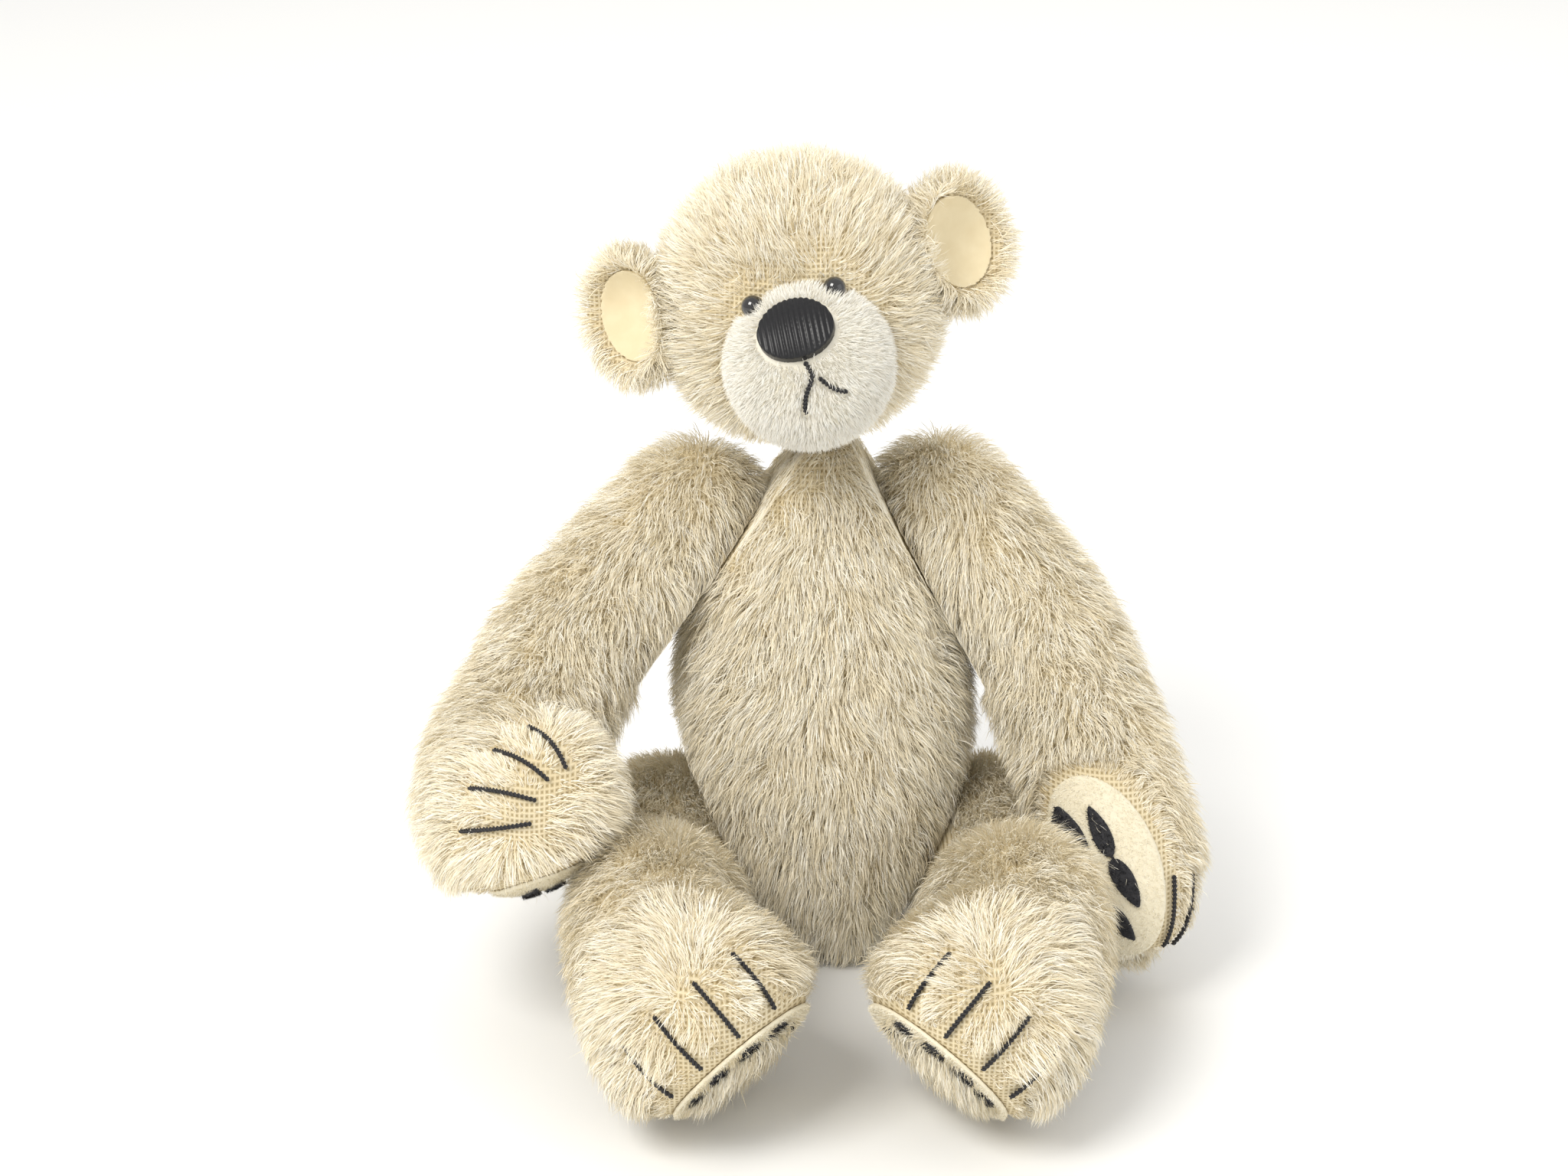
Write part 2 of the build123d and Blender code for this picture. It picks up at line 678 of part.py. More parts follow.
for side in sides:
    arm_outer = arm_solid(side, 0)
    palm_layer = arm_solid(side, -pad_cloth)
    pad_layer = arm_solid(side, -2 * pad_cloth)
    arm_claws = [stitch(row, thread / 2) for row in arm_claw_rows(side)]
    arm_skin = limb_skin(arm_frame, arm_outer, arm_solid(side, cloth)).part
    arm_filling = limb_stuffing(arm_frame, arm_solid(side, inset)).part
    palm_plane = arm_palm_plane(side)
    palm_prism = oval_prism(palm_plane, [palm_oval], palm_reach)
    pad_prisms = oval_prism(palm_plane, paw_pads, palm_reach)
    palm_cloth = on_arm((palm_prism & palm_layer) - arm_outer, side)
    pad_cloths = on_arm((pad_prisms & pad_layer) - palm_layer, side)
    skin_here = on_arm(arm_skin, side)
    filling_here = on_arm(arm_filling, side)
    claws_here = [on_arm(claw, side) for claw in arm_claws]
    with BuildPart() as skin:
        add(skin_here)
    save(skin, f"arm_{side}_skin")
    with BuildPart() as filling:
        add(filling_here)
    save(filling, f"arm_{side}_stuffing")
    save_hardware("arm", side, limb_planes["shoulder", side])
    with BuildPart() as palm:
        add(palm_cloth)
    save(palm, f"arm_{side}_palm")
    with BuildPart() as pads:
        add(pad_cloths)
    save(pads, f"arm_{side}_pads")
    with BuildPart() as claws:
        add(claws_here)
    save(claws, f"arm_{side}_claws")


def both_sides(piece):
    """A piece of the bear's left side and its mirror image for the right side."""
    return {"left": piece, "right": piece.mirror(Plane.YZ)}


left_hip = limb_planes["hip", "left"]
leg_outer = leg_solid("left", 0) - ground
leg_inner = leg_solid("left", cloth) - seat_cloth
leg_core = leg_solid("left", inset) - seat_core
leg_skin = both_sides(limb_skin(left_hip, leg_outer, leg_inner).part)
leg_filling = both_sides(limb_stuffing(left_hip, leg_core).part)
foot = foot_frame("left")
sole_distance, sole_half_width, sole_half_length, sole_shift = foot_sections[-1]
sole_oval = (sole_shift, 0, sole_half_length, sole_half_width, 0)
sole_cloth = both_sides(oval_prism(foot.offset(sole_distance), [sole_oval], pad_cloth))
pad_cloths = both_sides(oval_prism(foot.offset(sole_distance + pad_cloth), foot_pads, pad_cloth))
claw_threads = [both_sides(stitch(row, thread / 2)) for row in foot_claw_rows("left")]
for side in sides:
    with BuildPart() as skin:
        add(leg_skin[side])
    save(skin, f"leg_{side}_skin")
    with BuildPart() as filling:
        add(leg_filling[side])
    save(filling, f"leg_{side}_stuffing")
    save_hardware("leg", side, limb_planes["hip", side])
    with BuildPart() as sole:
        add(sole_cloth[side])
    save(sole, f"leg_{side}_sole")
    with BuildPart() as pads:
        add(pad_cloths[side])
    save(pads, f"leg_{side}_pads")
    with BuildPart() as claws:
        add([row[side] for row in claw_threads])
    save(claws, f"leg_{side}_claws")
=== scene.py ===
"""Looks of a seated, jointed mohair teddy bear. Lengths are in metres, and the bear faces -Y."""
import json
import math

import bpy
import numpy as np
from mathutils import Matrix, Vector
from mathutils.bvhtree import BVHTree
from mathutils.kdtree import KDTree


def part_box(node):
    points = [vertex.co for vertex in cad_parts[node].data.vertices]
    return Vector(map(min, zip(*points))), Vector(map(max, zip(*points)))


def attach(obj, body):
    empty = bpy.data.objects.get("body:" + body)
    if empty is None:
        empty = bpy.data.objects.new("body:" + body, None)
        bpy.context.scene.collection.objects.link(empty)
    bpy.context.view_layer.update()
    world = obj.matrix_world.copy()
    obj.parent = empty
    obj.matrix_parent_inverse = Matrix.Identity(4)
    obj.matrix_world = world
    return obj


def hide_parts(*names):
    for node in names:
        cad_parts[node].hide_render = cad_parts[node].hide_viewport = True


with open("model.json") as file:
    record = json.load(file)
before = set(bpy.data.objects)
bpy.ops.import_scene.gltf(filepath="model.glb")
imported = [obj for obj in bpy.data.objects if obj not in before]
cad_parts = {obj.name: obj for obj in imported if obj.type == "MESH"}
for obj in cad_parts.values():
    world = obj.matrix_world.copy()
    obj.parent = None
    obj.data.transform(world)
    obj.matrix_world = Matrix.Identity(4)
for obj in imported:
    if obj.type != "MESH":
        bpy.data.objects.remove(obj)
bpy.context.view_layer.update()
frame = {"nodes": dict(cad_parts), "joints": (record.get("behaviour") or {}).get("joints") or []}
nodes = frame["nodes"]
mm = 0.001
rng = np.random.default_rng(11)
sides = {"left": 1, "right": -1}

# ---- what the looks are driven by -----------------------------------------------------------
skin_voxel = 0.75 * mm
weave_period = 0.62 * mm
strand_limit = 39000          # strands in one piece of fur
joint_reach = 24 * mm         # how far from a joint's middle the fur is pressed flat
bare_reach = 11 * mm          # how far from it the cloth is left bare
thread_rise = 0.5 * mm        # middle of a thread above the cloth
ply_offset = 0.15 * mm        # from a thread's middle to the middle of one ply
ply_radius = 0.2 * mm
twist_length = 1.1 * mm       # along a thread, for one turn of its plies
pile = 13.0                   # hairs on a square millimetre of mohair
hair = 0.12 * mm              # width of one hair
press_gap = 0.12 * mm
camera_target = Vector((-0.0069, 0.0, 0.045))
camera_elevation = math.radians(22)
camera_distance = 0.42
lens = 70.1
lens_shift = 0.0239


# ---- small helpers --------------------------------------------------------------------------
def unit(vectors):
    """Rows scaled to length one."""
    length = np.linalg.norm(vectors, axis=-1, keepdims=True)
    return vectors / np.maximum(length, 1e-12)


def tangent(vectors, normals):
    """Rows with their share along the normals taken out, scaled to length one."""
    along = (vectors * normals).sum(axis=1, keepdims=True)
    return unit(vectors - along * normals)


def smoothstep(low, high, value):
    """Ease from 0 at low to 1 at high."""
    t = np.clip((value - low) / (high - low), 0, 1)
    return t * t * (3 - 2 * t)


class Ripple:
    """Smooth noise of about -1 to 1, a sum of sines in random directions."""

    def __init__(self, size, seed):
        own = np.random.default_rng(seed)
        self.directions = unit(own.normal(size=(9, 3))) * (2 * math.pi / size)
        self.directions = self.directions * own.uniform(0.6, 1.5, (9, 1))
        self.phases = own.uniform(0, 2 * math.pi, 9)

    def at(self, points):
        return np.sin(points @ self.directions.T + self.phases).mean(axis=1) * 2.4


def centre_of(node):
    """Middle of a CAD node's box."""
    low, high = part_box(node)
    return np.array((low + high) / 2)


def joint_frame(name):
    """A joint's place and axis."""
    joint = next(j for j in frame["joints"] if j["name"] == name)
    return np.array(joint["pos_m"], float), unit(np.array(joint["axis"], float))


def new_object(name, vertices, faces, materials, smooth=True):
    """Mesh object of faces with equally many corners."""
    mesh = bpy.data.meshes.new(name)
    corners = faces.shape[1]
    mesh.vertices.add(len(vertices))
    mesh.vertices.foreach_set("co", vertices.astype(np.float32).ravel())
    mesh.loops.add(faces.size)
    mesh.loops.foreach_set("vertex_index", faces.astype(np.int32).ravel())
    mesh.polygons.add(len(faces))
    mesh.polygons.foreach_set("loop_start", np.arange(0, faces.size, corners, dtype=np.int32))
    mesh.polygons.foreach_set("use_smooth", np.full(len(faces), smooth))
    for material in materials:
        mesh.materials.append(material)
    mesh.update(calc_edges=True)
    piece = bpy.data.objects.new(name, mesh)
    bpy.context.scene.collection.objects.link(piece)
    return piece


def node_arrays(names):
    """Vertices and triangles of several CAD nodes, joined."""
    vertices, triangles, start = [], [], 0
    for name in names:
        mesh = nodes[name].data
        places = np.empty(len(mesh.vertices) * 3)
        mesh.vertices.foreach_get("co", places)
        mesh.calc_loop_triangles()
        corners = np.empty(len(mesh.loop_triangles) * 3, np.int64)
        mesh.loop_triangles.foreach_get("vertices", corners)
        vertices.append(places.reshape(-1, 3))
        triangles.append(corners.reshape(-1, 3) + start)
        start += len(mesh.vertices)
    return np.concatenate(vertices), np.concatenate(triangles)


def shells(count, faces):
    """For each vertex, the lowest vertex that it is joined to."""
    label = np.arange(count)
    while True:
        lowest = label[faces].min(axis=1)
        joined = label.copy()
        for corner in range(faces.shape[1]):
            np.minimum.at(joined, faces[:, corner], lowest)
        joined = joined[joined]
        if (joined == label).all():
            return label
        label = joined


def remeshed(names, voxel, rounds, whole=False):
    """Even quads over the outside of several CAD nodes; only the largest shell unless whole."""
    vertices, triangles = node_arrays(names)
    source = new_object("source", vertices, triangles, [])
    voxels = source.modifiers.new("voxels", "REMESH")
    voxels.mode = "VOXEL"
    voxels.voxel_size = voxel
    softened = source.modifiers.new("softened", "SMOOTH")
    softened.factor = 0.5
    softened.iterations = rounds
    evaluated = source.evaluated_get(bpy.context.evaluated_depsgraph_get())
    mesh = evaluated.to_mesh()
    places = np.empty(len(mesh.vertices) * 3)
    mesh.vertices.foreach_get("co", places)
    corners = np.empty(len(mesh.loops), np.int64)
    mesh.loops.foreach_get("vertex_index", corners)
    evaluated.to_mesh_clear()
    bpy.data.objects.remove(source)
    places, quads = places.reshape(-1, 3), corners.reshape(-1, 4)
    if whole:
        return places, quads
    label = shells(len(places), quads)
    largest = np.bincount(label).argmax()
    quads = quads[label[quads[:, 0]] == largest]
    used, numbered = np.unique(quads, return_inverse=True)
    return places[used], numbered.reshape(-1, 4)


def vertex_normals(vertices, quads):
    """Unit normals at the vertices of a quad mesh."""
    face = np.cross(vertices[quads[:, 2]] - vertices[quads[:, 0]],
                    vertices[quads[:, 3]] - vertices[quads[:, 1]])
    total = np.zeros_like(vertices)
    for corner in range(4):
        np.add.at(total, quads[:, corner], face)
    return unit(total)


# ---- materials ------------------------------------------------------------------------------
def principled(name, colour, roughness, **inputs):
    """Material with constant settings; returns it with its node tree and shader."""
    material = bpy.data.materials.new(name)
    material.use_nodes = True
    shader = material.node_tree.nodes["Principled BSDF"]
    shader.inputs["Base Color"].default_value = (*colour, 1)
    shader.inputs["Roughness"].default_value = roughness
    for socket, value in inputs.items():
        shader.inputs[socket.replace("_", " ")].default_value = value
    return material, material.node_tree, shader


def mixed_colour(tree, factor, first, second):
    """Colour mix of two colours by a node's output."""
    mix = tree.nodes.new("ShaderNodeMix")
    mix.data_type = "RGBA"
    mix.inputs["A"].default_value = (*first, 1)
    mix.inputs["B"].default_value = (*second, 1)
    tree.links.new(factor, mix.inputs["Factor"])
    return mix


def noise_node(tree, scale, detail=3.0):
    """Noise over the object's own coordinates."""
    place = tree.nodes.new("ShaderNodeTexCoord")
    noise = tree.nodes.new("ShaderNodeTexNoise")
    noise.inputs["Scale"].default_value = scale
    noise.inputs["Detail"].default_value = detail
    tree.links.new(place.outputs["Object"], noise.inputs["Vector"])
    return noise


def bumped(tree, shader, height, distance, strength=0.6):
    """Bump of a shader by a node's output."""
    bump = tree.nodes.new("ShaderNodeBump")
    bump.inputs["Distance"].default_value = distance
    bump.inputs["Strength"].default_value = strength
    tree.links.new(height, bump.inputs["Height"])
    tree.links.new(bump.outputs["Normal"], shader.inputs["Normal"])


def speckled(name, first, second, scale, roughness, bump=0.05 * mm, **inputs):
    """Matt material whose colour wanders between two and whose surface is slightly uneven."""
    material, tree, shader = principled(name, first, roughness, **inputs)
    noise = noise_node(tree, scale)
    mix = mixed_colour(tree, noise.outputs["Fac"], first, second)
    tree.links.new(mix.outputs["Result"], shader.inputs["Base Color"])
    bumped(tree, shader, noise.outputs["Fac"], bump)
    return material


def woven(name, ground, gap, patch):
    """Open plain weave with uneven staining and painted shade in the gaps between its threads, seen
    where the pile is thin.
    """
    material, tree, shader = principled(name, ground, 0.85, Specular_IOR_Level=0.2)
    place = tree.nodes.new("ShaderNodeTexCoord")
    waves = []
    for direction in ("X", "Z"):
        wave = tree.nodes.new("ShaderNodeTexWave")
        wave.bands_direction = direction
        wave.inputs["Scale"].default_value = 2 * math.pi / (20 * weave_period)
        wave.inputs["Distortion"].default_value = 0.6
        wave.inputs["Detail"].default_value = 1
        tree.links.new(place.outputs["Object"], wave.inputs["Vector"])
        waves.append(wave)
    crossing = tree.nodes.new("ShaderNodeMath")
    crossing.operation = "MAXIMUM"
    tree.links.new(waves[0].outputs["Fac"], crossing.inputs[0])
    tree.links.new(waves[1].outputs["Fac"], crossing.inputs[1])
    noise = noise_node(tree, 160)
    stain = mixed_colour(tree, noise.outputs["Fac"], patch, ground)
    # Painted shade: where no thread crosses, the dark gap colour stands in for shadow between the
    # threads.
    mix = mixed_colour(tree, crossing.outputs["Value"], gap, ground)
    tree.links.new(stain.outputs["Result"], mix.inputs["B"])
    tree.links.new(mix.outputs["Result"], shader.inputs["Base Color"])
    bumped(tree, shader, crossing.outputs["Value"], 0.15 * mm)
    return material


def tones(name, colours, roughness=0.6):
    """Plain materials for single hairs, one for each tone."""
    made = []
    for index, colour in enumerate(colours):
        made.append(principled(f"{name}_{index}", colour, roughness, Specular_IOR_Level=0.25)[0])
    return made


# Backing colours: the ground, then painted shade for the weave's gaps, then a stain tone.
backing = woven("mohair_backing", (0.80, 0.72, 0.54), (0.34, 0.26, 0.13), (0.66, 0.54, 0.32))
muzzle_cloth = speckled("muzzle_cloth", (0.80, 0.77, 0.68), (0.72, 0.67, 0.55), 500, 0.9)
ear_cloth = speckled("ear_cloth", (0.80, 0.71, 0.50), (0.68, 0.57, 0.36), 400, 0.9)
palm_cloth = speckled("palm_cloth", (0.84, 0.78, 0.62), (0.74, 0.67, 0.50), 700, 0.9, 0.08 * mm)
pad_cloth = speckled("pad_cloth", (0.018, 0.018, 0.021), (0.045, 0.045, 0.05), 900, 0.95, 0.1 * mm)
thread_cotton = speckled("thread_cotton", (0.012, 0.012, 0.014), (0.035, 0.033, 0.035), 2500, 0.7)
floss = speckled("nose_floss", (0.004, 0.004, 0.005), (0.012, 0.012, 0.014), 1800, 0.36, 0.02 * mm,
                 Specular_IOR_Level=0.3, Coat_Weight=0.15, Coat_Roughness=0.2)
bead = speckled("black_bead", (0.004, 0.004, 0.005), (0.01, 0.009, 0.009), 900, 0.06, 0.002 * mm,
                Coat_Weight=1.0, Coat_Roughness=0.02)
board = speckled("hardboard", (0.36, 0.23, 0.12), (0.24, 0.14, 0.07), 900, 0.7)
steel = speckled("steel", (0.62, 0.62, 0.62), (0.45, 0.45, 0.46), 1500, 0.35, 0.01 * mm,
                 Metallic=1.0)
mohair = tones("mohair", [(0.88, 0.80, 0.62), (0.94, 0.90, 0.79), (0.77, 0.66, 0.44)])
plush = tones("plush", [(0.88, 0.85, 0.77), (0.93, 0.92, 0.87), (0.78, 0.73, 0.60)])
lining = tones("lining", [(0.86, 0.78, 0.57), (0.90, 0.85, 0.68), (0.76, 0.65, 0.42)])
nap = tones("nap", [(0.86, 0.80, 0.65), (0.90, 0.86, 0.74), (0.78, 0.71, 0.54)], 0.8)
soot = tones("soot", [(0.012, 0.012, 0.014), (0.03, 0.03, 0.034), (0.055, 0.055, 0.06)], 0.8)


# ---- fur ------------------------------------------------------------------------------------
def scatter(vertices, quads, per_square_mm):
    """Random points on a quad mesh, with their normals."""
    normals = vertex_normals(vertices, quads)
    triangles = np.concatenate([quads[:, [0, 1, 2]], quads[:, [0, 2, 3]]])
    first, second, third = (vertices[triangles[:, k]] for k in range(3))
    area = np.linalg.norm(np.cross(second - first, third - first), axis=1) / 2
    count = int(area.sum() / mm ** 2 * per_square_mm)
    picked = rng.choice(len(triangles), count, p=area / area.sum())
    share = rng.random((count, 2))
    over = share.sum(axis=1) > 1
    share[over] = 1 - share[over]
    weights = np.column_stack([1 - share.sum(axis=1), share])
    chosen = triangles[picked]
    points = sum(vertices[chosen[:, k]] * weights[:, k:k + 1] for k in range(3))
    directions = unit(sum(normals[chosen[:, k]] * weights[:, k:k + 1] for k in range(3)))
    return points, directions


drift = [Ripple(7 * mm, 21), Ripple(7 * mm, 22), Ripple(7 * mm, 23)]


def wander(points):
    """Slow, uncombed change of the pile's direction over the cloth."""
    return np.column_stack([0.45 * ripple.at(points) for ripple in drift])


def pull_together(points, roots, cell, strength):
    """Draw the hairs of each small patch towards their common line, more so at the tips."""
    jitter = Ripple(9 * mm, 3).at(roots)[:, None] * 0.4 * mm
    keys = np.floor((roots + jitter) / cell).astype(np.int64)
    unused, group = np.unique(keys, axis=0, return_inverse=True)
    group = group.ravel()
    size = np.bincount(group)
    middle = np.empty((len(size), points.shape[1], 3))
    for step in range(points.shape[1]):
        for axis in range(3):
            middle[:, step, axis] = np.bincount(group, points[:, step, axis]) / size
    steps = np.linspace(0, 1, points.shape[1])[None, :, None]
    own = strength * rng.uniform(0.5, 1.3, (len(points), 1, 1))
    return points + (middle[group] - points) * np.clip(own * steps ** 1.5, 0, 0.95), group


def grow(name, body, materials, roots, normals, lays, length, width, press,
         lean=0.85, steps=3, patch=1.3 * mm, gather=0.62, shares=(0.55, 0.3, 0.15)):
    """Fur of tapered, bent ribbons; length is per hair, and press keeps points out of the way."""
    count = len(roots)
    up = unit(normals + rng.normal(0, 0.16, (count, 3)))
    lay = tangent(lays + rng.normal(0, 0.45, (count, 3)) + wander(roots), up)
    angle = np.clip(rng.normal(lean, 0.2, count), 0.05, 1.4)
    long = length * rng.uniform(0.65, 1.2, count)
    points = np.empty((count, steps + 1, 3))
    for step in range(steps + 1):
        t = step / steps
        bent = angle * (0.6 + 0.55 * t)
        reach = (long * t)[:, None]
        points[:, step] = roots + reach * (np.cos(bent)[:, None] * up + np.sin(bent)[:, None] * lay)
        points[:, step, 2] -= 0.07 * long * t * t
    points, group = pull_together(points, roots, patch, gather)
    points[:, 0] -= 0.15 * mm * up
    points = press(points)
    along = unit(points[:, -1] - points[:, 0])
    flat = unit(np.cross(along, up))
    upright = np.cross(along, flat)
    roll = rng.normal(0, 0.55, count)[:, None]
    across = np.cos(roll) * flat + np.sin(roll) * upright
    half = width * rng.uniform(0.7, 1.25, count)[:, None] / 2
    tapers = 1 - 0.45 * np.arange(steps) / steps
    rows = []
    for step in range(steps):
        rows.append(points[:, step] - across * half * tapers[step])
        rows.append(points[:, step] + across * half * tapers[step])
    rows.append(points[:, steps])
    corners = np.stack(rows, axis=1)
    mean_tone = rng.random(group.max() + 1)[group]
    tone = np.searchsorted(np.cumsum(shares)[:2], 0.5 * mean_tone + 0.5 * rng.random(count))
    order = np.argsort(group, kind="stable")
    for number, start in enumerate(range(0, count, strand_limit)):
        chosen = order[start:start + strand_limit]
        ribbons(f"{name}_{number}", body, materials, corners[chosen], tone[chosen], steps)


def ribbons(name, body, materials, corners, tone, steps):
    """One mesh of ribbons, each of quads that end in a triangle."""
    count, each = corners.shape[:2]
    first = np.arange(count)[:, None] * each
    pattern = []
    for step in range(steps - 1):
        pattern += [2 * step, 2 * step + 1, 2 * step + 3, 2 * step + 2]
    pattern += [each - 3, each - 2, each - 1]
    loops = (first + np.array(pattern)[None, :]).ravel()
    sizes = np.tile(np.array([4] * (steps - 1) + [3]), count)
    starts = np.concatenate([[0], np.cumsum(sizes)[:-1]])
    mesh = bpy.data.meshes.new(name)
    mesh.vertices.add(count * each)
    mesh.vertices.foreach_set("co", corners.astype(np.float32).ravel())
    mesh.loops.add(len(loops))
    mesh.loops.foreach_set("vertex_index", loops.astype(np.int32))
    mesh.polygons.add(len(sizes))
    mesh.polygons.foreach_set("loop_start", starts.astype(np.int32))
    for material in materials:
        mesh.materials.append(material)
    mesh.polygons.foreach_set("material_index", np.repeat(tone, steps).astype(np.int32))
    mesh.update(calc_edges=True)
    piece = bpy.data.objects.new(name, mesh)
    bpy.context.scene.collection.objects.link(piece)
    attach(piece, body)


# ---- places that the looks are laid out by -----------------------------------------------------
neck_place, neck_axis = joint_frame("head_swivel")
limb_joints = {}
for limb in ("arm", "leg"):
    for side, sign in sides.items():
        place, axis = joint_frame(f"{limb}_{side}_swing")
        limb_joints[limb, side] = (place, axis * np.sign(axis[0]) * sign)
eyes = {side: centre_of(f"eye_{side}") for side in sides}
head_across = unit(eyes["left"] - eyes["right"])
muzzle_low, muzzle_high = (np.array(corner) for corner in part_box("muzzle"))
nose_middle = centre_of("nose")
ears = {side: centre_of(f"ear_back_{side}") for side in sides}


def held_back(points, place, outward, sign):
    """Press points near a joint back to one side of its plane."""
    offset = points - place
    height = offset @ outward
    flat = np.linalg.norm(offset - height[..., None] * outward, axis=-1)
    wrong = np.clip(press_gap - sign * height, 0, None) * (flat < joint_reach)
    return points + sign * wrong[..., None] * outward


def above_floor(points):
    """Keep points clear of what the bear sits on."""
    points[..., 2] = np.maximum(points[..., 2], 0.15 * mm)
    return points


def press_torso(points):
    """The body's pile stays under the limbs and the head."""
    for place, outward in limb_joints.values():
        points = held_back(points, place, outward, -1)
    return above_floor(held_back(points, neck_place, neck_axis, -1))


def press_limb(limb, side):
    """A limb's pile stays outside its joint's plane."""
    place, outward = limb_joints[limb, side]
    return lambda points: above_floor(held_back(points, place, outward, 1))


def press_head(points):
    """The head's pile stays over the neck."""
    return held_back(points, neck_place, neck_axis, 1)


def gap_to(points, names, limit):
    """Distance from each point to the vertices of CAD nodes, up to a limit."""
    vertices, unused = node_arrays(names)
    tree = KDTree(len(vertices))
    for index, vertex in enumerate(vertices):
        tree.insert(vertex, index)
    tree.balance()
    gap = np.full(len(points), limit)
    low, high = vertices.min(axis=0) - limit, vertices.max(axis=0) + limit
    for index in np.flatnonzero(((points > low) & (points < high)).all(axis=1)):
        gap[index] = min(limit, tree.find(points[index])[2])
    return gap


def pressed_flat(points, normals, limb_planes, sign):
    """True on the flat faces where two skins meet."""
    flat = np.zeros(len(points), bool)
    for place, outward in limb_planes:
        height = (points - place) @ outward * sign
        facing = (normals @ outward) * sign < -0.8
        flat |= (height < 0.9 * mm) & facing & (np.linalg.norm(points - place, axis=1) < bare_reach)
    return flat


thin = Ripple(11 * mm, 5)
fine = Ripple(3.2 * mm, 6)


def patchy(points, low=0.45):
    """Thin the pile in drifting patches, where the weave then shows."""
    keep = np.clip(0.82 + 0.34 * thin.at(points) + 0.2 * fine.at(points), low, 1)
    return rng.random(len(points)) < keep


def skin(name, body, names, voxel=skin_voxel, rounds=5, material=backing):
    """Sewn skin of a body part, which stands for its CAD cloth and filling."""
    vertices, quads = remeshed(names, voxel, rounds)
    piece = new_object(name, vertices, quads, [material])
    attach(piece, body)
    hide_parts(*names)
    return piece, vertices, quads


# ---- body -----------------------------------------------------------------------------------
torso_parts = ["torso_side_left", "torso_side_right", "torso_stuffing"]
piece, vertices, quads = skin("torso_cloth", "torso", torso_parts)
roots, normals = scatter(vertices, quads, pile)
bare = pressed_flat(roots, normals, limb_joints.values(), -1)
bare |= (roots[:, 2] < 0.5 * mm) & (normals[:, 2] < -0.7)
keep = ~bare & patchy(roots)
roots, normals = roots[keep], normals[keep]
down = np.tile([0.0, -0.12, -1.0], (len(roots), 1)) + roots * [14.0, 0, 0]
grow("torso_fur", "torso", mohair, roots, normals, tangent(down, normals),
     4.7 * mm, hair, press_torso, lean=0.8)

# ---- head -----------------------------------------------------------------------------------
head_parts = ["head_side_left", "head_side_right", "head_stuffing"]
piece, vertices, quads = skin("head_cloth", "head", head_parts)
muzzle_middle = (muzzle_low + muzzle_high) / 2
roots, normals = scatter(vertices, quads, pile)
from_nose = np.linalg.norm(roots - muzzle_middle, axis=1)
covered = gap_to(roots, ["muzzle"], mm) < 0.7 * mm
for side in sides:
    covered |= np.linalg.norm(roots - eyes[side], axis=1) < 2.2 * mm
covered |= (((roots - neck_place) @ neck_axis) < 2.0 * mm) & (normals @ neck_axis < -0.8)
keep = ~covered & patchy(roots, 0.6)
roots, normals, from_nose = roots[keep], normals[keep], from_nose[keep]
to_eye = np.minimum(*[np.linalg.norm(roots - eyes[side], axis=1) for side in sides])
near_muzzle = 0.5 + 0.5 * smoothstep(9 * mm, 17 * mm, from_nose)
near_eye = 0.25 + 0.75 * smoothstep(2 * mm, 6 * mm, to_eye)
short = near_muzzle * near_eye
run = unit(roots - muzzle_middle)
for side in sides:
    away = roots - eyes[side]
    share = 1 - smoothstep(2.5 * mm, 6 * mm, np.linalg.norm(away, axis=1))
    run = run * (1 - share[:, None]) + unit(away) * share[:, None]
grow("head_fur", "head", mohair, roots, normals, tangent(run, normals),
     4.4 * mm * short, hair, press_head, lean=0.72)

piece, vertices, quads = skin("muzzle_cloth", "head", ["muzzle"], 0.4 * mm, 4,
                              muzzle_cloth)
roots, normals = scatter(vertices, quads, 30)
keep = gap_to(roots, ["nose"], mm) > 0.35 * mm
keep &= gap_to(roots, ["mouth_stitches"], mm) > 0.3 * mm
for side in sides:
    keep &= np.linalg.norm(roots - eyes[side], axis=1) > 2.1 * mm
skull_middle = centre_of("head_stuffing")
keep &= (roots - skull_middle) @ unit(muzzle_middle - skull_middle) > 9 * mm
roots, normals = roots[keep], normals[keep]
grow("muzzle_fur", "head", plush, roots, normals,
     tangent(roots - nose_middle, normals), 1.5 * mm, 0.1 * mm, press_head, lean=0.55, steps=2, patch=0.7 * mm, gather=0.4)

for side, sign in sides.items():
    piece, vertices, quads = skin(f"ear_cloth_{side}", "head", [f"ear_back_{side}"], 0.35 * mm, 3)
    middle = ears[side]
    front = unit(centre_of(f"ear_lining_{side}") - middle)
    roots, normals = scatter(vertices, quads, 14)
    inner = gap_to(roots, [f"ear_lining_{side}"], mm) < 0.3 * mm
    roots, normals = roots[~inner], normals[~inner]
    rim = unit(roots - middle)
    rim = rim - (rim @ front)[:, None] * front
    grow(f"ear_fur_{side}", "head", mohair, roots, unit(normals + rim),
         tangent(rim, normals), 4.2 * mm, hair, press_head, lean=0.6)
    piece, vertices, quads = skin(f"ear_lining_cloth_{side}", "head", [f"ear_lining_{side}"],
                                  0.25 * mm, 3, ear_cloth)
    roots, normals = scatter(vertices, quads, 34)
    facing = normals @ front > 0.2
    roots, normals = roots[facing], normals[facing]
    grow(f"ear_nap_{side}", "head", lining, roots, normals,
         tangent(roots - middle, normals), 1.6 * mm, 0.09 * mm, press_head, lean=0.75, steps=2, patch=0.8 * mm, gather=0.45)

